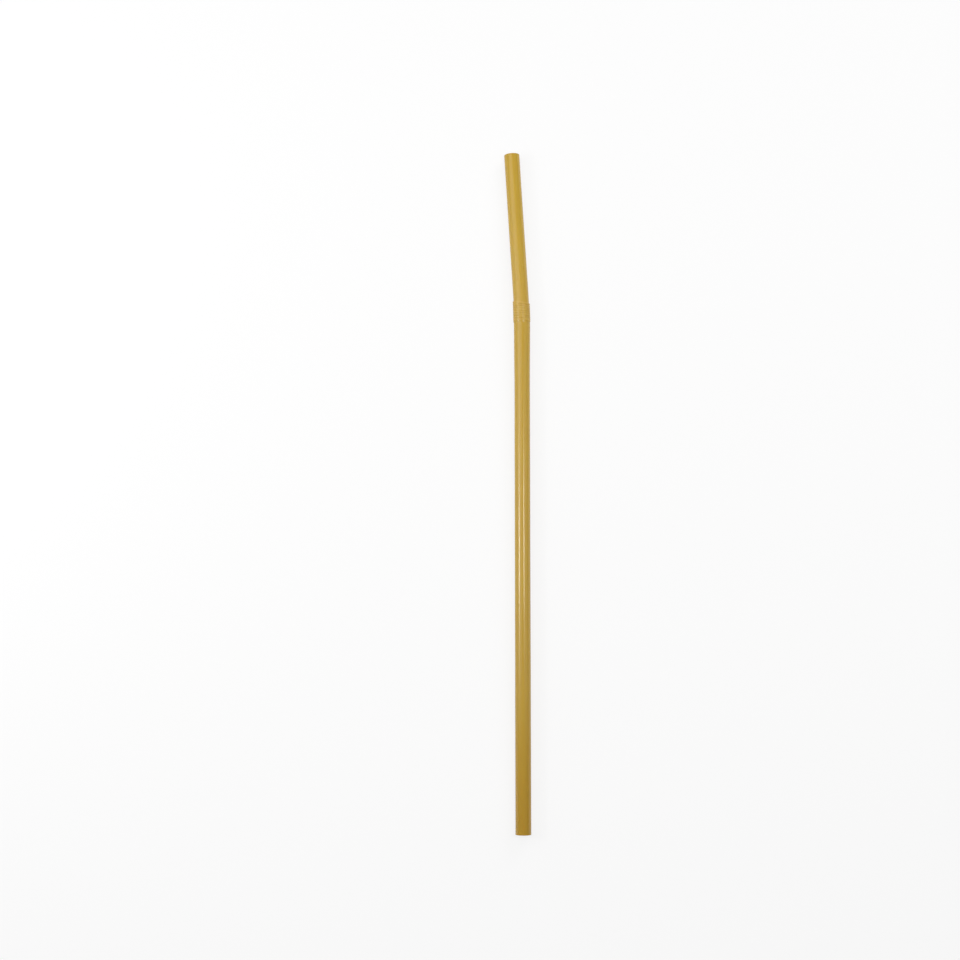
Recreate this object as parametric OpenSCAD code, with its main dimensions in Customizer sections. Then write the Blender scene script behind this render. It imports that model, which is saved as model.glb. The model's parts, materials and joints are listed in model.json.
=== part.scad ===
// Flexible drinking straw: one thin plastic tube with a bellows collar near its mouth.
// The folds of the collar are pushed together, so each one sits in the next like a stack of cups,
// and the mouth leg leans a few degrees to one side. The straw lies on a table as it comes to rest,
// with its foot towards -Y, its mouth towards +Y and the lean towards -X.

/* [Tube] */
// Outside diameter of both legs
tube_d = 5.5; // [4:0.1:8]
// Thickness of the wall, in the legs and in the folds
wall = 0.18; // [0.12:0.01:0.2]
// Length of the long leg, from its foot to the bend below the collar
stem_len = 177; // [90:1:220]
// Length of the mouth leg, from the bend above the collar to its mouth
mouth_len = 52.5; // [25:0.5:80]
// How far the long leg widens all round towards the collar
flare = 0.14; // [0.04:0.02:0.2]
// Length over which the long leg widens
flare_len = 20; // [2:0.5:40]

/* [Bellows collar] */
// Number of folds
fold_count = 8; // [4:1:14]
// Distance from one crest to the next with the folds pushed together
fold_pitch = 0.85; // [0.7:0.05:1.2]
// How far each fold tucks back below the crest before it
fold_tuck = 0.3; // [0.2:0.05:0.4]
// Height of the groove between one crest and the band above it
groove = 0.25; // [0.25:0.05:0.5]
// How far the crests stand out from the tube
crest_stand = 0.3; // [0.25:0.05:0.5]
// How far each band between two grooves widens towards its crest
band_taper = 0.05; // [0.02:0.01:0.1]
// How far the roots reach in from the tube
root_depth = 0.25; // [0.15:0.05:0.4]
// Height of the step from the long leg to the first band
shoulder_rise = 0.45; // [0.1:0.05:0.6]
// Plain tube between the folds and the bend on either side
collar_land = 0.3; // [0.2:0.1:2]

/* [Bend] */
// Angle between the long leg and the mouth leg, shared by the two ends of the collar
bend = 3.5; // [2:0.5:20]
// Length along the axis of the curve at each end of the collar
elbow_len = 1.5; // [1.3:0.1:4]
// How much the wall thickens in the curve, inside and outside
elbow_swell = 0.01; // [0.005:0.005:0.03]

/* [Hidden] */
$fn = 96;

// Straight steps that round one fold's edge, and the smallest turn that counts as such an edge
fold_edge_steps = 3;
fold_edge_turn = 60;

// Radii of the outside, and of the middle of the wall in the legs, below the collar and in the folds
tube_r = tube_d / 2;
flare_r = tube_r + flare;
mid_r = tube_r - wall / 2;
flare_mid_r = flare_r - wall / 2;
crest_mid_r = mid_r + crest_stand;
band_mid_r = crest_mid_r - band_taper;
root_mid_r = mid_r - root_depth;

// Heights on the collar's own axis, from the end of the bend below it
first_band_h = collar_land + shoulder_rise;
first_crest_h = first_band_h + fold_pitch;
lip_h = first_crest_h + (fold_count - 1) * fold_pitch;
last_root_h = lip_h - fold_tuck;
flank_slope = (fold_tuck + groove) / (band_mid_r - root_mid_r);
mouth_leg_h = last_root_h + flank_slope * root_depth;
collar_len = mouth_leg_h + collar_land;

// Each end of the collar turns through half of the bend.
// Straight tube runs into each end of a curve by elbow_lap, inside the curve's thicker wall.
half_bend = bend / 2;
elbow_r = elbow_len / (half_bend * PI / 180);
elbow_lap = 0.15;

// Points and directions on the straw's axis, with the foot at the origin and the long leg up +Z
foot_dir = axis_dir(0);
mouth_dir = axis_dir(bend);
elbow_step = [-elbow_r * (1 - cos(half_bend)), 0, elbow_r * sin(half_bend)];
foot_point = [0, 0, 0];
collar_point = stem_len * foot_dir + elbow_step;
first_crest_point = on_collar(first_crest_h);
lip_point = on_collar(lip_h);
mouth_point = on_collar(collar_len) + lean(elbow_step, half_bend) + mouth_len * mouth_dir;

// The straw touches the table at its foot, at the lip of the collar and at its mouth.
// The table's upward normal is [rest_a, rest_b, 1] across, along and above the straw.
rest_slope = mouth_point.x / mouth_point.z;
rest_lift = crest_stand / (lip_point.x - rest_slope * lip_point.z);
rest_a = rest_lift / sqrt(1 - pow(rest_lift, 2) * (1 + pow(rest_slope, 2)));
rest_b = -rest_a * rest_slope;
roll = -atan(rest_a);
pitch = atan2(rest_b, sqrt(1 + pow(rest_a, 2)));

// Box of the straw at rest, across and along, which the origin is centred on
x_hi = max(reach(foot_point, foot_dir, tube_r, 0),
           reach(first_crest_point, axis_dir(half_bend), crest_mid_r, 0) + wall / 2);
x_lo = -reach(-mouth_point, mouth_dir, tube_r, 0);
y_hi = reach(mouth_point, mouth_dir, tube_r, 1);
y_lo = -reach(-foot_point, foot_dir, tube_r, 1);

// A point turned towards -X about the Y axis
function lean(p, angle) = [p.x * cos(angle) - p.z * sin(angle), p.y, p.x * sin(angle) + p.z * cos(angle)];

// Direction of the straw's axis after it has turned by an angle
function axis_dir(angle) = lean([0, 0, 1], angle);

// Point on the collar's axis at a height above the bend below it
function on_collar(height) = collar_point + height * axis_dir(half_bend);

// Where a point of the axis, or a direction, comes to when the straw is laid down and settles
function settle(p) = [
    p.x * cos(roll),
    p.z * cos(pitch) + p.x * sin(roll) * sin(pitch),
    p.z * sin(pitch) - p.x * sin(roll) * cos(pitch)
];

// How far a circle round the axis reaches along X (0) or Y (1) at rest
function reach(center, dir, radius, along) =
    settle(center)[along] + radius * sqrt(1 - pow(settle(dir)[along], 2));

// Middle of the wall as [radius, height]: the long leg from its foot, which widens at its top
function stem_path() = [
    [mid_r, 0],
    [mid_r, stem_len - flare_len],
    [flare_mid_r, stem_len],
    [flare_mid_r, stem_len + elbow_lap]
];

// The collar, from the long leg to the mouth leg: each fold is a root, a bent-out flank, a band and a crest
function collar_path() = [
    [flare_mid_r, -elbow_lap],
    [flare_mid_r, collar_land],
    [band_mid_r, first_band_h],
    [crest_mid_r, first_crest_h],
    for (fold = [1 : fold_count - 1]) let (crest_below_h = first_crest_h + (fold - 1) * fold_pitch) each [
        [root_mid_r, crest_below_h - fold_tuck],
        [band_mid_r, crest_below_h + groove],
        [crest_mid_r, crest_below_h + fold_pitch]
    ],
    [root_mid_r, last_root_h],
    [mid_r, mouth_leg_h],
    [mid_r, collar_len + elbow_lap]
];

// The mouth leg, from the bend above the collar
function mouth_path() = [[mid_r, -elbow_lap], [mid_r, mouth_len]];

// Direction in degrees of the path's step that starts at point i
function heading(path, i) = atan2(path[i + 1].y - path[i].y, path[i + 1].x - path[i].x);

// An angle brought between -180 and 180 degrees
function short_turn(angle) = angle - 360 * round(angle / 360);

// One side of a wall along a path: side is 1 for its left and -1 for its right.
// The outside of a fold's edge is rounded to half the wall, and every other corner is sharp.
function wall_side(path, side) = [
    for (i = [0 : len(path) - 1]) let (
        last = len(path) - 1,
        before = heading(path, max(i - 1, 0)),
        after = heading(path, min(i, last - 1)),
        turn = short_turn(after - before),
        start = before + side * 90,
        sharp = side * turn > 0 || abs(turn) < fold_edge_turn
    ) each sharp
        ? [path[i] + wall / 2 / cos(turn / 2) * [cos(start + turn / 2), sin(start + turn / 2)]]
        : [for (k = [0 : fold_edge_steps]) let (angle = start + turn * k / fold_edge_steps)
            path[i] + wall / 2 * [cos(angle), sin(angle)]]
];

// The list in the other order
function backwards(list) = [for (i = [len(list) - 1 : -1 : 0]) list[i]];

// A wall of even thickness round the axis
module sleeve(path) {
    rotate_extrude()
        polygon(concat(wall_side(path, -1), backwards(wall_side(path, 1))));
}

// A curve through half of the bend, in tube of this outside radius
module elbow(outside_r) {
    translate([-elbow_r, 0, 0])
        rotate([90, 0, 0])
            rotate_extrude(angle = half_bend)
                translate([elbow_r, 0])
                    difference() {
                        circle(r = outside_r + elbow_swell);
                        circle(r = outside_r - wall - elbow_swell);
                    }
}

module after_elbow() {
    translate(elbow_step)
        rotate([0, -half_bend, 0])
            children();
}

module upright_straw() {
    sleeve(stem_path());
    translate([0, 0, stem_len]) {
        elbow(flare_r);
        after_elbow() {
            sleeve(collar_path());
            translate([0, 0, collar_len]) {
                elbow(tube_r);
                after_elbow()
                    sleeve(mouth_path());
            }
        }
    }
}

module straw() {
    color([0.757, 0.627, 0.282])
        translate([-(x_lo + x_hi) / 2, -(y_lo + y_hi) / 2, tube_r])
            rotate([pitch, 0, 0])
                rotate([0, roll, 0])
                    rotate([-90, 0, 0])
                        upright_straw();
}

straw();
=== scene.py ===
"""A flexible drinking straw of golden plastic, lying on a pale table under soft studio light."""

import json
import logging
import math
from dataclasses import dataclass, field
from enum import Enum
from typing import Any

import bpy
from mathutils import Matrix, Vector


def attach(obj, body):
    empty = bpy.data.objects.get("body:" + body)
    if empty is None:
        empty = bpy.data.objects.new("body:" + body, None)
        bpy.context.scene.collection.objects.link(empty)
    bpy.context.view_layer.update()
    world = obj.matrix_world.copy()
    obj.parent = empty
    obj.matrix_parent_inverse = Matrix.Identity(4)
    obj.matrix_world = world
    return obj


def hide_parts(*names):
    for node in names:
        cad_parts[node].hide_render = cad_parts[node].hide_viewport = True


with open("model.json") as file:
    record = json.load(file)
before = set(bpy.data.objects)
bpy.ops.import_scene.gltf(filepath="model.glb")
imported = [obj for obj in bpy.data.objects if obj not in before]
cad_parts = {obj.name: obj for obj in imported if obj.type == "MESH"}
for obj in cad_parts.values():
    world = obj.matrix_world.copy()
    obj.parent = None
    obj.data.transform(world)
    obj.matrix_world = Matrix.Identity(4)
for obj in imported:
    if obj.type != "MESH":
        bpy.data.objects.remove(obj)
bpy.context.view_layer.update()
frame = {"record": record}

LOG = logging.getLogger("straw")
MM = 0.001

# Side of the square picture that the camera is set out for, in pixels
PICTURE = 960

Triple = tuple[float, float, float]
Colour = Triple
WHITE: Colour = (1.0, 1.0, 1.0)


class Side(Enum):
    """The two sides of the straw's wall: which way to turn to each from the wall's path."""

    OUTER = -1
    INNER = 1


class Wire:
    """A node's output socket, on which Python's operators add Math nodes."""

    def __init__(self, net: "Net", socket: bpy.types.NodeSocket) -> None:
        """Keep the socket and the net that it belongs to."""
        self.net = net
        self.socket = socket

    def __add__(self, other: "Wire | float") -> "Wire":
        """Sum."""
        return self.net.math("ADD", self, other)

    def __radd__(self, other: float) -> "Wire":
        """Sum with a number on the left."""
        return self.net.math("ADD", other, self)

    def __sub__(self, other: "Wire | float") -> "Wire":
        """Difference."""
        return self.net.math("SUBTRACT", self, other)

    def __rsub__(self, other: float) -> "Wire":
        """Difference from a number."""
        return self.net.math("SUBTRACT", other, self)

    def __mul__(self, other: "Wire | float") -> "Wire":
        """Product."""
        return self.net.math("MULTIPLY", self, other)

    def __rmul__(self, other: float) -> "Wire":
        """Product with a number on the left."""
        return self.net.math("MULTIPLY", other, self)

    def __truediv__(self, other: "Wire | float") -> "Wire":
        """Quotient."""
        return self.net.math("DIVIDE", self, other)

    def __rtruediv__(self, other: float) -> "Wire":
        """Quotient of a number on the left."""
        return self.net.math("DIVIDE", other, self)


class Net:
    """A node tree and the one way that nodes are added to it."""

    # A Mix node has sockets of the same name for each kind of data, so its colours go by number
    MIX_SHARE, MIX_LOW, MIX_HIGH, MIX_RESULT = 0, 6, 7, 2

    def __init__(self, tree: bpy.types.NodeTree) -> None:
        """Keep the tree."""
        self.tree = tree

    def node(
        self,
        kind: str,
        settings: dict[str, Any] | None = None,
        inputs: dict[int | str, Any] | None = None,
        output: int | str = 0,
    ) -> Wire:
        """Add a node.

        Args:
            kind: Blender's name for the node's type.
            settings: The node's own properties, set before its sockets.
            inputs: Values or wires by socket name or number.
            output: The output socket that the wire is for.

        Returns:
            A wire from that output.
        """
        made = self.tree.nodes.new(kind)
        for name, value in (settings or {}).items():
            setattr(made, name, value)
        for key, value in (inputs or {}).items():
            self.join(value, made.inputs[key])
        return Wire(self, made.outputs[output])

    def join(self, value: Any, socket: bpy.types.NodeSocket) -> None:
        """Link a wire to a socket, or set the socket to a value.

        Args:
            value: The wire, or what the socket is to hold.
            socket: An input socket of this tree.
        """
        if isinstance(value, Wire):
            self.tree.links.new(value.socket, socket)
        else:
            socket.default_value = value

    def math(self, operation: str, *values: "Wire | float") -> Wire:
        """A Math node on one or more values."""
        return self.node("ShaderNodeMath", {"operation": operation}, dict(enumerate(values)))

    def vector(self, operation: str, *values: Any) -> Wire:
        """A Vector Math node on one or more vectors."""
        return self.node("ShaderNodeVectorMath", {"operation": operation}, dict(enumerate(values)))

    def part(self, vector: Wire, axis: str) -> Wire:
        """One of a vector's parts: X, Y or Z."""
        return self.node("ShaderNodeSeparateXYZ", None, {0: vector}, axis)

    def ramp(self, value: Wire, low: "Wire | float", high: "Wire | float") -> Wire:
        """A smooth rise over a range.

        Args:
            value: What is compared with the range.
            low: Start of the range.
            high: End of the range.

        Returns:
            0 up to the start, 1 from the end on and a smooth curve between.
        """
        return self.node(
            "ShaderNodeMapRange",
            {"interpolation_type": "SMOOTHSTEP"},
            {"Value": value, "From Min": low, "From Max": high},
        )

    def waver(self, place: Wire, scale: Triple, detail: float) -> Wire:
        """Smooth noise with its own scale in each direction.

        Args:
            place: Coordinates in metres.
            scale: Waves per metre in each direction.
            detail: Octaves of finer noise.

        Returns:
            A value about 0 that stays between -1 and 1.
        """
        stretched = self.vector("MULTIPLY", place, scale)
        noise = self.node(
            "ShaderNodeTexNoise", None, {"Vector": stretched, "Scale": 1.0, "Detail": detail}
        )
        return noise * 2.0 - 1.0

    def blend(self, share: "Wire | float", low: "Wire | Colour", high: "Wire | Colour") -> Wire:
        """A colour between two others.

        Args:
            share: 0 for the first colour and 1 for the second.
            low: First colour.
            high: Second colour.

        Returns:
            The mixed colour.
        """
        first, second = (c if isinstance(c, Wire) else (*c, 1.0) for c in (low, high))
        return self.node(
            "ShaderNodeMix",
            {"data_type": "RGBA"},
            {self.MIX_SHARE: share, self.MIX_LOW: first, self.MIX_HIGH: second},
            self.MIX_RESULT,
        )

    def seen(self) -> Wire:
        """Tell rays that show a background from those that only light the scene.

        Returns:
            1 for rays from the camera, off gloss and through glass, and 0 for others.
        """
        rays = ("Is Camera Ray", "Is Glossy Ray", "Is Transmission Ray")
        camera, glossy, through = (self.node("ShaderNodeLightPath", output=ray) for ray in rays)
        return self.math("MAXIMUM", self.math("MAXIMUM", camera, glossy), through)


class ShapeTree(Net):
    """A Geometry Nodes tree that takes a geometry and named values, and gives a geometry."""

    SOCKETS: dict[type, str] = {
        int: "NodeSocketInt",
        float: "NodeSocketFloat",
        Vector: "NodeSocketVector",
        bpy.types.Material: "NodeSocketMaterial",
    }

    def __init__(self, name: str, values: dict[str, Any]) -> None:
        """Make the tree.

        Args:
            name: The tree's name.
            values: What the named inputs hold when the tree is run. Each one's type gives its socket.
        """
        super().__init__(bpy.data.node_groups.new(name, "GeometryNodeTree"))
        self.values = values
        self.identifiers: dict[str, str] = {}
        kinds = {label: self.SOCKETS[type(value)] for label, value in values.items()}
        for label, kind in {"Geometry": "NodeSocketGeometry", **kinds}.items():
            socket = self.tree.interface.new_socket(label, in_out="INPUT", socket_type=kind)
            self.identifiers[label] = socket.identifier
        self.tree.interface.new_socket("Geometry", in_out="OUTPUT", socket_type="NodeSocketGeometry")
        self.entry = self.tree.nodes.new("NodeGroupInput")
        self.exit = self.tree.nodes.new("NodeGroupOutput")

    def given(self, label: str) -> Wire:
        """The wire of a named input."""
        return Wire(self, self.entry.outputs[label])

    def result(self, geometry: Wire) -> None:
        """Send a geometry to the tree's output."""
        self.join(geometry, self.exit.inputs["Geometry"])

    def run(self, seed: bpy.types.Mesh) -> bpy.types.Mesh:
        """Run the tree on a mesh, with the named inputs at their values.

        Args:
            seed: The mesh to start from.

        Returns:
            The result as a plain mesh.
        """
        holder = bpy.data.objects.new(seed.name, seed)
        bpy.context.scene.collection.objects.link(holder)
        modifier = holder.modifiers.new(self.tree.name, "NODES")
        modifier.node_group = self.tree
        for label, value in self.values.items():
            modifier[self.identifiers[label]] = value
        graph = bpy.context.evaluated_depsgraph_get()
        mesh = bpy.data.meshes.new_from_object(holder.evaluated_get(graph), depsgraph=graph)
        bpy.data.objects.remove(holder)
        return mesh


class MaterialNet(Net):
    """The node tree of a new material, emptied and given an output."""

    def __init__(self, name: str) -> None:
        """Make the material.

        Args:
            name: The material's name.
        """
        self.material = bpy.data.materials.new(name)
        self.material.use_nodes = True
        super().__init__(self.material.node_tree)
        self.tree.nodes.clear()
        self.output = self.tree.nodes.new("ShaderNodeOutputMaterial")

    def surface(self, shader: Wire) -> bpy.types.Material:
        """Send a shader to the output and give back the material."""
        self.join(shader, self.output.inputs["Surface"])
        return self.material


@dataclass(frozen=True)
class StrawPlastic:
    """Glossy golden plastic, coloured right through, with faint lengthwise lines from its making.

    Soft clouds of a deeper, more orange gold lie all over it at random. Towards the foot more of that
    deeper gold is mixed in as painted shade, so the foot is darker. Plastic that was folded or cut is
    paler and duller; the paleness is partly real whitening and partly painted light that lifts the
    shaded folds of the collar.

    Attributes:
        amber_share: Usual share of amber in the gold.
        cloud_share: What a cloud adds to that share at most.
        painted_foot_shade_share: Painted shade: what is added to it at the foot, and less and less
        over painted_foot_shade_reach.
        pale_and_painted_light_share: Share of the pale colour where the plastic was bent hardest.
        line_dullness: What a line adds to the roughness at most.
        fold_dullness: What is added to the roughness where the plastic was bent hardest.
        glow_share: Share of the light that goes into the plastic and comes out coloured.
    """

    gold: Colour = (0.534, 0.343, 0.037)
    # Deeper gold of the random clouds, and of the painted shade towards the foot
    amber_and_painted_shade: Colour = (0.475, 0.277, 0.028)
    amber_share: float = 0.2
    cloud_share: float = 0.45
    cloud_scale: Triple = (130.0, 130.0, 32.0)
    cloud_detail: float = 2.0
    # Painted shade: the foot is made darker with more of the deeper gold
    painted_foot_shade_share: float = 0.75
    painted_foot_shade_reach: float = 85.0 * MM
    # Paler plastic where bent: real whitening, partly painted light that lifts the collar's shaded folds
    pale_and_painted_light: Colour = (0.720, 0.480, 0.130)
    pale_and_painted_light_share: float = 0.35
    line_scale: Triple = (1500.0, 1500.0, 12.0)
    line_detail: float = 3.0
    line_height: float = 0.004 * MM
    line_strength: float = 0.12
    roughness: float = 0.22
    line_dullness: float = 0.03
    fold_dullness: float = 0.25
    specular: float = 0.5
    glow_share: float = 0.15
    glow_depth: float = 0.4 * MM
    glow_radius: Colour = (1.0, 0.6, 0.15)

    def material(self) -> bpy.types.Material:
        """Make the material.

        Returns:
            A material that reads the piece's own "straight" and "stress" attributes.
        """
        net = MaterialNet("straw_plastic")
        straight = net.node("ShaderNodeAttribute", {"attribute_name": "straight"}, output="Vector")
        stress = net.node("ShaderNodeAttribute", {"attribute_name": "stress"}, output="Fac")
        lines = net.waver(straight, self.line_scale, self.line_detail)
        clouds = net.waver(straight, self.cloud_scale, self.cloud_detail)
        # Painted shade: more of the deeper gold towards the foot, so the foot is darker
        painted_foot_shade = 1.0 - net.ramp(net.part(straight, "Z"), 0.0, self.painted_foot_shade_reach)
        share = self.amber_share + clouds * self.cloud_share + painted_foot_shade * self.painted_foot_shade_share
        colour = net.blend(share, self.gold, self.amber_and_painted_shade)
        # Paler where bent: real whitening of the plastic, partly painted light that lifts the shaded
        # folds
        colour = net.blend(stress * self.pale_and_painted_light_share, colour, self.pale_and_painted_light)
        bump = net.node(
            "ShaderNodeBump",
            None,
            {"Strength": self.line_strength, "Distance": self.line_height, "Height": lines},
        )
        shader = net.node(
            "ShaderNodeBsdfPrincipled",
            None,
            {
                "Base Color": colour,
                "Roughness": self.roughness + lines * self.line_dullness + stress * self.fold_dullness,
                "Specular IOR Level": self.specular,
                "Subsurface Weight": self.glow_share,
                "Subsurface Radius": self.glow_radius,
                "Subsurface Scale": self.glow_depth,
                "Normal": bump,
            },
        )
        return net.surface(shader)


@dataclass(frozen=True)
class TablePaper:
    """Matt white paper that keeps a shadow.

    Attributes:
        seen_white: Share of pure white in it where it is seen as a background.
    """

    white: Colour = (0.86, 0.86, 0.86)
    seen_white: float = 0.82

    def material(self) -> bpy.types.Material:
        """Make the material.

        Returns:
            A material that shines by itself only for rays that show a background.
        """
        net = MaterialNet("table_paper")
        paper = net.node("ShaderNodeBsdfDiffuse", None, {"Color": (*self.white, 1.0)})
        bright = net.node("ShaderNodeEmission", None, {"Color": (*WHITE, 1.0), "Strength": 1.0})
        return net.surface(
            net.node("ShaderNodeMixShader", None, {0: net.seen() * self.seen_white, 1: paper, 2: bright})
        )


@dataclass(frozen=True)
class Spot:
    """A point of the wall's section, and how hard the plastic was bent there, from 0 to 1."""

    radius: float
    height: float
    stress: float = 0.0

    def gap(self, other: "Spot") -> float:
        """Distance to another point."""
        return math.hypot(other.radius - self.radius, other.height - self.height)

    def heading(self, other: "Spot") -> float:
        """Direction to another point, as an angle from straight outwards."""
        return math.atan2(other.height - self.height, other.radius - self.radius)

    def moved(self, angle: float, reach: float, stress: float = 0.0) -> "Spot":
        """The point at a distance in a direction."""
        return Spot(self.radius + reach * math.cos(angle), self.height + reach * math.sin(angle), stress)

    def towards(self, other: "Spot", share: float) -> "Spot":
        """A point on the straight line to another.

        Args:
            other: Where the line ends.
            share: Share of the way to there.

        Returns:
            The point, with the same share of the way between the two stresses.
        """
        return Spot(
            self.radius + (other.radius - self.radius) * share,
            self.height + (other.height - self.height) * share,
            self.stress + (other.stress - self.stress) * share,
        )


@dataclass(frozen=True)
class Wall:
    """A wall of even thickness along a path in the plane of the section.

    The outside of a fold's edge is round and its inside sharp. Slighter corners are softened.

    Attributes:
        fold_turn: Turn from which a corner is a fold's edge.
        full_stress_turn: Turn from which the plastic counts as bent hardest.
        slight_turn: Turn below which a corner is softened over slight_reach, not edge_reach.
        most_softened: Share of the stretch beside it that a softened corner may take up.
        hold: How far inside a straight stretch's ends the points lie that keep it flat.
        shortest_held: Length from which a stretch has such points.
    """

    path: tuple[Spot, ...]
    thickness: float
    fold_turn: float = math.radians(60)
    full_stress_turn: float = math.radians(150)
    fold_steps: int = 8
    slight_turn: float = math.radians(15)
    slight_reach: float = 0.8 * MM
    edge_reach: float = 0.06 * MM
    most_softened: float = 0.4
    soft_steps: int = 5
    hold: float = 0.03 * MM
    shortest_held: float = 0.12 * MM

    def side(self, side: Side) -> list[Spot]:
        """Points of one side of the wall.

        Args:
            side: Which side.

        Returns:
            Points from the path's start to its end.
        """
        quarter = side.value * math.pi / 2
        first, second, *_, last_but_one, last = self.path
        corners = [self.corner(side, *three) for three in zip(self.path, self.path[1:], self.path[2:])]
        start = [first.moved(first.heading(second) + quarter, self.thickness / 2)]
        end = [last.moved(last_but_one.heading(last) + quarter, self.thickness / 2)]
        sharp = [start, *corners, end]
        soft = [self.softened(a[-1], b, c[0]) for a, b, c in zip(sharp, sharp[1:], sharp[2:])]
        points = list(start)
        for run in [*soft, end]:
            points += self.holds(points[-1], run[0]) + run
        return points

    def corner(self, side: Side, before: Spot, here: Spot, after: Spot) -> list[Spot]:
        """One side of the wall at a corner of its path.

        Args:
            side: Which side.
            before: The path's corner before this one.
            here: The corner.
            after: The path's corner after it.

        Returns:
            An arc round the outside of a fold's edge, and one sharp point at any other corner.
        """
        came = before.heading(here)
        turn = math.remainder(here.heading(after) - came, math.tau)
        start = came + side.value * math.pi / 2
        half = self.thickness / 2
        stress = min(abs(turn) / self.full_stress_turn, 1.0)
        if abs(turn) < self.fold_turn or side.value * turn > 0:
            return [here.moved(start + turn / 2, half / math.cos(turn / 2), stress)]
        shares = [i / self.fold_steps for i in range(self.fold_steps + 1)]
        return [here.moved(start + turn * share, half, stress) for share in shares]

    def softened(self, before: Spot, run: list[Spot], after: Spot) -> list[Spot]:
        """A corner turned into a short curve, unless it belongs to a fold's edge.

        Args:
            before: The side's point before the corner.
            run: The corner's own points.
            after: The side's point after it.

        Returns:
            The points that take the corner's place.
        """
        corner = run[0]
        turn = math.remainder(corner.heading(after) - before.heading(corner), math.tau)
        if len(run) > 1 or abs(turn) >= self.fold_turn:
            return run
        longest = self.slight_reach if abs(turn) < self.slight_turn else self.edge_reach
        room = min(before.gap(corner), corner.gap(after))
        reach = min(longest, self.most_softened * room)
        start = corner.towards(before, reach / corner.gap(before))
        end = corner.towards(after, reach / corner.gap(after))
        shares = [i / self.soft_steps for i in range(self.soft_steps + 1)]
        return [start.towards(corner, t).towards(corner.towards(end, t), t) for t in shares]

    def holds(self, start: Spot, end: Spot) -> list[Spot]:
        """Points that keep the shading of a straight stretch flat.

        Args:
            start: Start of the stretch.
            end: End of the stretch.

        Returns:
            Two points just inside its ends, or none where it is short.
        """
        gap = start.gap(end)
        if gap < self.shortest_held:
            return []
        share = self.hold / gap
        return [start.towards(end, share), start.towards(end, 1 - share)]


@dataclass(frozen=True)
class Bellows:
    """Sizes of the collar's folds as they lie pushed together, in metres.

    Each fold is a root, a flank that leads out of it, a nearly straight band and a crest.

    Attributes:
        pitch: Height from one crest to the next.
        tuck: How far each root lies below the crest before it.
        groove: How far above that crest the next band begins.
        crest_stand: How far the crests stand out from the tube's wall.
        band_taper: How much a band widens from its start to its crest.
        root_depth: How far the roots lie inside the tube's wall.
        shoulder_rise: Height of the slope that leads into the first band.
        land: Length of plain tube at each end of the collar.
    """

    folds: int = 8
    pitch: float = 0.85 * MM
    tuck: float = 0.3 * MM
    groove: float = 0.25 * MM
    crest_stand: float = 0.3 * MM
    band_taper: float = 0.05 * MM
    root_depth: float = 0.25 * MM
    shoulder_rise: float = 0.45 * MM
    land: float = 0.3 * MM

    @property
    def first_crest(self) -> float:
        """Height of the first crest above the collar's foot."""
        return self.land + self.shoulder_rise + self.pitch

    @property
    def lip(self) -> float:
        """Height of the last crest above the collar's foot."""
        return self.first_crest + (self.folds - 1) * self.pitch

    @property
    def leg_start(self) -> float:
        """Height at which the last flank meets the mouth leg."""
        flank_slope = (self.tuck + self.groove) / (self.crest_stand - self.band_taper + self.root_depth)
        return self.lip - self.tuck + flank_slope * self.root_depth

    @property
    def length(self) -> float:
        """Length of the collar with the plain tube at both ends."""
        return self.leg_start + self.land

    def path(self, mid_r: float, foot: float) -> list[Spot]:
        """Middle of the folded wall.

        Args:
            mid_r: Radius of the middle of the wall in the legs.
            foot: Height of the collar's foot.

        Returns:
            Corners from the first band's start to the mouth leg's start.
        """
        root_r, crest_r = mid_r - self.root_depth, mid_r + self.crest_stand
        band_r = crest_r - self.band_taper
        crests = [foot + self.first_crest + fold * self.pitch for fold in range(self.folds)]
        corners = [Spot(band_r, crests[0] - self.pitch), Spot(crest_r, crests[0])]
        for below, crest in zip(crests, crests[1:]):
            corners += [
                Spot(root_r, below - self.tuck),
                Spot(band_r, below + self.groove),
                Spot(crest_r, crest),
            ]
        return [*corners, Spot(root_r, crests[-1] - self.tuck), Spot(mid_r, foot + self.leg_start)]


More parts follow.
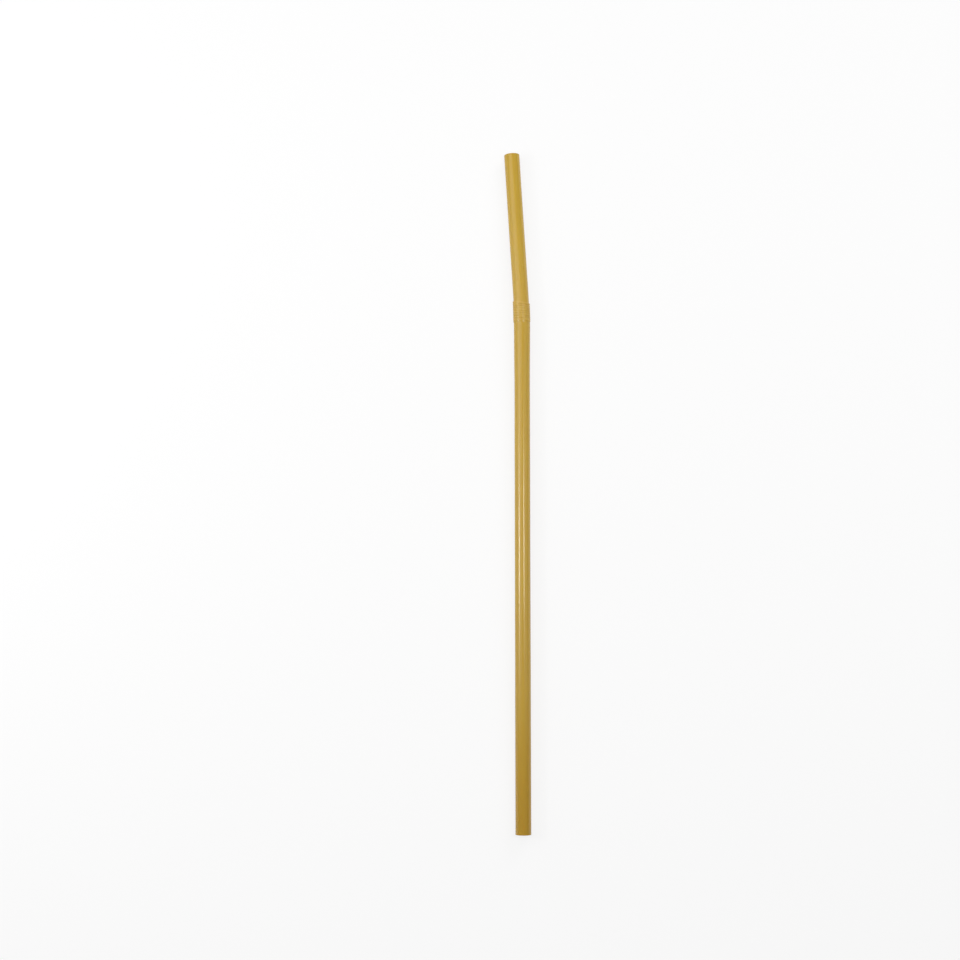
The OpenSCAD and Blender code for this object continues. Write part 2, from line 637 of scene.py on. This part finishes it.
@dataclass
class Straw:
    """The straw: a thin tube with a bellows collar, bent a little at both ends of the collar.

    Heights are along the straw's own axis from its foot, as if it were straight. A real straw isn't
    perfect: its tube is a little out of round, and its folds slant and wander.

    Attributes:
        plain_len: Length of the long leg up to where it begins to widen.
        bend: Angle between the long leg and the mouth leg.
        foot: Middle of the foot's end.
        lay: How the straw is turned from upright to where it lies.
        flare: How far the long leg widens all round, over flare_len.
        elbow_len: Length of each of the two bends.
        plain_stretch: Length from which a straight stretch gets rings.
        around: Sides of each ring.
        sharp_angle: Angle between faces from which the edge between them is shaded sharp.
        fold_slant: Rise of the folds across the straw, fading out over slant_fade.
    """

    tube_r: float
    bore_r: float
    plain_len: float
    mouth_len: float
    bend: float
    foot: Vector
    lay: Matrix
    finish: StrawPlastic = field(default_factory=StrawPlastic)
    bellows: Bellows = field(default_factory=Bellows)
    flare: float = 0.14 * MM
    flare_len: float = 20.0 * MM
    elbow_len: float = 1.5 * MM
    rim_round: float = 0.05 * MM
    rim_stress: float = 0.3
    rim_steps: int = 4
    leg_step: float = 4.0 * MM
    elbow_step: float = 0.3 * MM
    plain_stretch: float = 1.0 * MM
    around: int = 120
    sharp_angle: float = math.radians(50)
    out_of_round: float = 0.045 * MM
    round_scale: Triple = (260.0, 260.0, 45.0)
    round_detail: float = 1.0
    fold_wander: float = 0.07 * MM
    wander_scale: Triple = (330.0, 330.0, 420.0)
    wander_detail: float = 0.0
    fold_slant: float = 0.17
    slant_fade: float = 4.0 * MM

    @classmethod
    def from_record(cls, record: dict[str, Any]) -> "Straw":
        """Take the straw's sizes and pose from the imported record's mounts.

        Args:
            record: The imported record.

        Returns:
            A straw that lies where the solid lies.
        """
        mounts = {m["name"]: m for m in record["mounts"]}
        stem, mouth = mounts["stem"], mounts["mouth_leg"]
        plain_len = stem["dims"]["length_mm"] * MM
        up = -Vector(stem["axis"]).normalized()
        mouth_dir = Vector(mouth["axis"]).normalized()
        across = -(mouth_dir - mouth_dir.dot(up) * up).normalized()
        return cls(
            tube_r=stem["dims"]["r_mm"] * MM,
            bore_r=mounts["foot_bore"]["dims"]["r_mm"] * MM,
            plain_len=plain_len,
            mouth_len=mouth["dims"]["length_mm"] * MM,
            bend=up.angle(mouth_dir),
            foot=Vector(stem["pos_m"]) - up * plain_len / 2,
            lay=Matrix((across, up.cross(across), up)).transposed(),
        )

    @property
    def lower_bend(self) -> float:
        """Height at which the long leg, widened at its top, meets the lower bend."""
        return self.plain_len + self.flare_len

    @property
    def collar_foot(self) -> float:
        """Height at which the collar begins, above the lower bend."""
        return self.lower_bend + self.elbow_len

    @property
    def upper_bend(self) -> float:
        """Height at which the upper bend begins."""
        return self.collar_foot + self.bellows.length

    @property
    def length(self) -> float:
        """Length along the axis."""
        return self.upper_bend + self.elbow_len + self.mouth_len

    def path(self) -> tuple[Spot, ...]:
        """Middle of the wall.

        Returns:
            Corners from the foot's rim to the mouth's.
        """
        mid_r = (self.tube_r + self.bore_r) / 2
        wide_r = mid_r + self.flare
        return (
            Spot(mid_r, self.rim_round),
            Spot(mid_r, self.plain_len),
            Spot(wide_r, self.lower_bend),
            Spot(wide_r, self.collar_foot + self.bellows.land),
            *self.bellows.path(mid_r, self.collar_foot),
            Spot(mid_r, self.length - self.rim_round),
        )

    def with_rings(self, side: list[Spot]) -> list[Spot]:
        """Add rings to the plain stretches of one side, closer together in the bends.

        Args:
            side: Points from foot to mouth.

        Returns:
            The same points with more between them.
        """
        marks = [i * self.leg_step for i in range(int(self.length / self.leg_step))]
        count = round(self.elbow_len / self.elbow_step)
        for start in (self.lower_bend, self.upper_bend):
            marks += [start + self.elbow_len * i / count for i in range(count + 1)]
        points = side[:1]
        for low, high in zip(side, side[1:]):
            rise = high.height - low.height
            if rise > self.plain_stretch:
                shares = sorted((mark - low.height) / rise for mark in marks)
                points += [low.towards(high, share) for share in shares if 0.0 < share < 1.0]
            points.append(high)
        return points

    def rim(self, height: float, outward: int) -> list[Spot]:
        """The cut end of the wall, from its outside to its inside, with both edges just broken.

        Args:
            height: Height of the cut.
            outward: 1 where the straw ends upwards and -1 where it ends downwards.

        Returns:
            Points between the ends of the wall's two sides.
        """
        level = height - outward * self.rim_round
        outer = Spot(self.tube_r - self.rim_round, level)
        inner = Spot(self.bore_r + self.rim_round, level)
        steps = self.rim_steps
        angles = [outward * i / steps * math.pi / 2 for i in range(2 * steps + 1)]
        return [
            *(outer.moved(angle, self.rim_round, self.rim_stress) for angle in angles[1:steps + 1]),
            *(inner.moved(angle, self.rim_round, self.rim_stress) for angle in angles[steps:-1]),
        ]

    def section_mesh(self) -> bpy.types.Mesh:
        """The wall's section as a loop of edges: radius from the tube's wall on X, height down Y.

        Returns:
            A mesh that runs up the outside, over the mouth and down the inside.
        """
        wall = Wall(self.path(), self.tube_r - self.bore_r)
        outer, inner = (self.with_rings(wall.side(side)) for side in (Side.OUTER, Side.INNER))
        outline = [
            *outer,
            *self.rim(self.length, 1),
            *reversed(inner),
            *reversed(self.rim(0.0, -1)),
        ]
        mesh = bpy.data.meshes.new("straw_section")
        spots = [(spot.radius - self.tube_r, -spot.height, 0.0) for spot in outline]
        mesh.from_pydata(spots, [(i, (i + 1) % len(spots)) for i in range(len(spots))], [])
        stress = mesh.attributes.new("stress", "FLOAT", "POINT")
        stress.data.foreach_set("value", [spot.stress for spot in outline])
        return mesh

    @staticmethod
    def elbow_tree() -> ShapeTree:
        """A tree that bends what lies above a height towards -X.

        Returns:
            The tree, with inputs Start, Length and Angle.
        """
        labels = ("Start", "Length", "Angle")
        net = ShapeTree("straw_elbow", dict.fromkeys(labels, 0.0))
        start, length, angle = (net.given(label) for label in labels)
        place = net.node("GeometryNodeInputPosition")
        x, y, z = (net.part(place, axis) for axis in "XYZ")
        radius = length / angle
        above = z - start
        curved = net.math("MINIMUM", net.math("MAXIMUM", above, 0.0), length)
        beyond = net.math("MAXIMUM", above - length, 0.0)
        turn = curved / radius
        sine, cosine = net.math("SINE", turn), net.math("COSINE", turn)
        moved = net.node(
            "ShaderNodeCombineXYZ",
            None,
            {
                "X": (radius + x) * cosine - radius - beyond * sine,
                "Y": y,
                "Z": net.math("MINIMUM", z, start) + (radius + x) * sine + beyond * cosine,
            },
        )
        net.result(
            net.node(
                "GeometryNodeSetPosition", None, {"Geometry": net.given("Geometry"), "Position": moved}
            )
        )
        return net

    def unevenness(self, net: ShapeTree) -> Wire:
        """How far each point lies from a perfect straw.

        Args:
            net: The straw's tree, whose named inputs say how uneven the straw is.

        Returns:
            An offset: out of round all along, and up or down in the folds.
        """
        place = net.node("GeometryNodeInputPosition")
        x, height = (net.part(place, axis) for axis in "XZ")
        outwards = net.vector("NORMALIZE", net.vector("MULTIPLY", place, (1.0, 1.0, 0.0)))
        wave = net.waver(place, self.round_scale, self.round_detail)
        wander = net.waver(place, self.wander_scale, self.wander_detail)
        foot, lip = net.given("Collar foot"), net.given("Lip")
        above = net.ramp(height, lip, lip + net.given("Slant fade"))
        folded = net.ramp(height, foot, lip) * (1.0 - above)
        swing = wander * net.given("Fold wander") - x * net.given("Fold slant")
        sideways = net.node(
            "ShaderNodeVectorMath",
            {"operation": "SCALE"},
            {0: outwards, "Scale": wave * net.given("Out of round")},
        )
        upwards = net.node("ShaderNodeCombineXYZ", None, {"Z": swing * folded})
        return net.vector("ADD", sideways, upwards)

    def straw_tree(self) -> ShapeTree:
        """The tree that turns the section into the straw, bends it, lays it down and dresses it.

        Returns:
            The tree, whose named inputs hold the straw's sizes, its pose and its material.
        """
        net = ShapeTree(
            "straw_lathe",
            {
                "Around": self.around,
                "Tube radius": self.tube_r,
                "Collar foot": self.collar_foot,
                "Lip": self.collar_foot + self.bellows.lip,
                "Slant fade": self.slant_fade,
                "Fold slant": self.fold_slant,
                "Fold wander": self.fold_wander,
                "Out of round": self.out_of_round,
                "Lower bend": self.lower_bend,
                "Upper bend": self.upper_bend,
                "Bend length": self.elbow_len,
                "Bend angle": self.bend / 2,
                "Foot": self.foot,
                "Lay": Vector(self.lay.to_euler()),
                "Sharp angle": self.sharp_angle,
                "Plastic": self.finish.material(),
            },
        )
        section = net.node("GeometryNodeMeshToCurve", None, {"Mesh": net.given("Geometry")})
        ring = net.node(
            "GeometryNodeCurvePrimitiveCircle",
            None,
            {"Resolution": net.given("Around"), "Radius": net.given("Tube radius")},
        )
        shape = net.node("GeometryNodeCurveToMesh", None, {"Curve": ring, "Profile Curve": section})
        shape = net.node(
            "GeometryNodeStoreNamedAttribute",
            {"data_type": "FLOAT_VECTOR", "domain": "POINT"},
            {"Geometry": shape, "Name": "straight", "Value": net.node("GeometryNodeInputPosition")},
        )
        shape = net.node(
            "GeometryNodeSetPosition", None, {"Geometry": shape, "Offset": self.unevenness(net)}
        )
        elbow = self.elbow_tree().tree
        for label in ("Upper bend", "Lower bend"):
            shape = net.node(
                "GeometryNodeGroup",
                {"node_tree": elbow},
                {
                    "Geometry": shape,
                    "Start": net.given(label),
                    "Length": net.given("Bend length"),
                    "Angle": net.given("Bend angle"),
                },
            )
        turned = net.node("FunctionNodeEulerToRotation", None, {0: net.given("Lay")})
        shape = net.node(
            "GeometryNodeTransform",
            None,
            {"Geometry": shape, "Translation": net.given("Foot"), "Rotation": turned},
        )
        shape = net.node(
            "GeometryNodeSetShadeSmooth", {"domain": "FACE"}, {"Geometry": shape, "Shade Smooth": True}
        )
        fold = net.node("GeometryNodeInputMeshEdgeAngle", output="Unsigned Angle")
        sharp = net.math("GREATER_THAN", fold, net.given("Sharp angle"))
        shape = net.node(
            "GeometryNodeSetShadeSmooth",
            {"domain": "EDGE"},
            {"Geometry": shape, "Selection": sharp, "Shade Smooth": False},
        )
        shape = net.node("GeometryNodeRealizeInstances", None, {"Geometry": shape})
        net.result(
            net.node(
                "GeometryNodeSetMaterial", None, {"Geometry": shape, "Material": net.given("Plastic")}
            )
        )
        return net

    def build(self) -> bpy.types.Object:
        """Build the straw's mesh and dress it.

        Returns:
            The finished piece, at the origin with its place in its mesh.
        """
        mesh = self.straw_tree().run(self.section_mesh())
        mesh.name = "golden_straw"
        piece = bpy.data.objects.new("golden_straw", mesh)
        bpy.context.scene.collection.objects.link(piece)
        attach(piece, "root")
        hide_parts("straw")
        return piece


@dataclass(frozen=True)
class Lamp:
    """A rectangular lamp that faces a point: its two sides in metres, and its power in watts."""

    name: str
    place: Triple
    target: Triple
    size: tuple[float, float]
    watts: float

    def build(self) -> bpy.types.Object:
        """Hang the lamp.

        Returns:
            The lamp, turned to its target.
        """
        light = bpy.data.lights.new(self.name, "AREA")
        light.shape = "RECTANGLE"
        light.size, light.size_y = self.size
        light.energy = self.watts
        lamp = bpy.data.objects.new(self.name, light)
        lamp.location = self.place
        facing = Vector(self.target) - Vector(self.place)
        lamp.rotation_euler = facing.to_track_quat("-Z", "Y").to_euler()
        bpy.context.scene.collection.objects.link(lamp)
        return lamp


@dataclass
class Studio:
    """The table, the lamps and the camera that looks down on the straw.

    The large lamps stand on both sides and beyond the mouth, so the foot is a little darker. The two
    small ones, gleam and glint, make the two thin lights along the long leg.

    Attributes:
        table_side: Side of the flat part of the table.
        upturn: Height to which the table's edges turn up.
        table_drop: How far the table lies below the lowest point of a perfect straw.
        aim: Point that the camera looks at.
        tilt: How far the camera leans back from straight above.
        focal_px: Focal length in pixels of the picture.
        sensor: Width of the camera's sensor in millimetres.
        sky: Strength of the even light from all round.
    """

    paper: TablePaper = field(default_factory=TablePaper)
    table_side: float = 12.0
    upturn: float = 1.0
    table_drop: float = 0.03 * MM
    aim: Vector = field(default_factory=lambda: Vector((-13.29, 2.54, 2.9)) * MM)
    tilt: float = math.radians(6.0)
    distance: float = 0.5633
    focal_px: float = 1600.0
    sensor: float = 36.0
    clip: tuple[float, float] = (0.01, 20.0)
    sky: float = 0.15
    lamps: tuple[Lamp, ...] = (
        Lamp("broad", (-0.19, 0.14, 0.36), (0.0, 0.08, 0.0), (0.42, 0.36), 0.73),
        Lamp("left", (-0.30, 0.05, 0.17), (0.0, 0.04, 0.0), (0.28, 0.24), 0.27),
        Lamp("right", (0.28, 0.02, 0.24), (0.0, 0.02, 0.0), (0.25, 0.25), 0.18),
        Lamp("across", (0.34, 0.58, 0.38), (0.0, 0.08, 0.0), (0.30, 0.30), 2.05),
        Lamp("gleam", (-0.462, 0.012, 0.361), (0.0, -0.02, 0.0), (0.05, 0.03), 0.50),
        Lamp("glint", (0.19, 0.025, 0.58), (0.0, 0.0, 0.0), (0.05, 0.06), 0.60),
    )

    def build_table(self) -> bpy.types.Object:
        """Lay the plain pale table top under the straw.

        Returns:
            The table, whose far edges turn up to hide the horizon.
        """
        half = self.table_side / 2
        corners = ((-1, -1), (1, -1), (1, 1), (-1, 1))
        spots = [
            (x * (half + rise), y * (half + rise), rise - self.table_drop)
            for rise in (0.0, self.upturn)
            for x, y in corners
        ]
        sides = [(i, i + 4, (i + 1) % 4 + 4, (i + 1) % 4) for i in range(4)]
        mesh = bpy.data.meshes.new("table")
        mesh.from_pydata(spots, [], [(0, 1, 2, 3), *sides])
        mesh.materials.append(self.paper.material())
        table = bpy.data.objects.new("table", mesh)
        bpy.context.scene.collection.objects.link(table)
        return table

    def build_sky(self) -> bpy.types.World:
        """Light the scene evenly from all round.

        Returns:
            The world that gives this light.
        """
        world = bpy.data.worlds.new("studio")
        world.use_nodes = True
        world.node_tree.nodes.clear()
        net = Net(world.node_tree)
        lit = net.node("ShaderNodeBackground", None, {"Color": (*WHITE, 1.0), "Strength": self.sky})
        output = world.node_tree.nodes.new("ShaderNodeOutputWorld")
        net.join(lit, output.inputs["Surface"])
        bpy.context.scene.world = world
        return world

    def build_camera(self) -> bpy.types.Object:
        """Set up the camera, which looks down from a little on the foot's side.

        Returns:
            The scene's camera.
        """
        lens = bpy.data.cameras.new("camera")
        lens.sensor_width = self.sensor
        lens.lens = self.focal_px / PICTURE * self.sensor
        lens.clip_start, lens.clip_end = self.clip
        camera = bpy.data.objects.new("camera", lens)
        back = Vector((0.0, -math.sin(self.tilt), math.cos(self.tilt)))
        camera.location = self.aim + back * self.distance
        camera.rotation_euler = (self.tilt, 0.0, 0.0)
        bpy.context.scene.collection.objects.link(camera)
        bpy.context.scene.camera = camera
        return camera

    def build(self) -> None:
        """Set up the whole studio."""
        bpy.context.scene.view_settings.view_transform = "Standard"
        self.build_table()
        self.build_sky()
        self.build_camera()
        for lamp in self.lamps:
            lamp.build()
            LOG.info("lamp %s: %.2f W", lamp.name, lamp.watts)


def main() -> None:
    """Build the straw and the studio, and report each piece."""
    logging.basicConfig(level=logging.INFO, format="%(name)s: %(message)s")
    straw = Straw.from_record(frame["record"])
    piece = straw.build()
    triangles = sum(len(face.vertices) - 2 for face in piece.data.polygons)
    LOG.info("%s: %.1f mm long, %d triangles", piece.name, straw.length / MM, triangles)
    Studio().build()


if __name__ == "__main__":
    main()
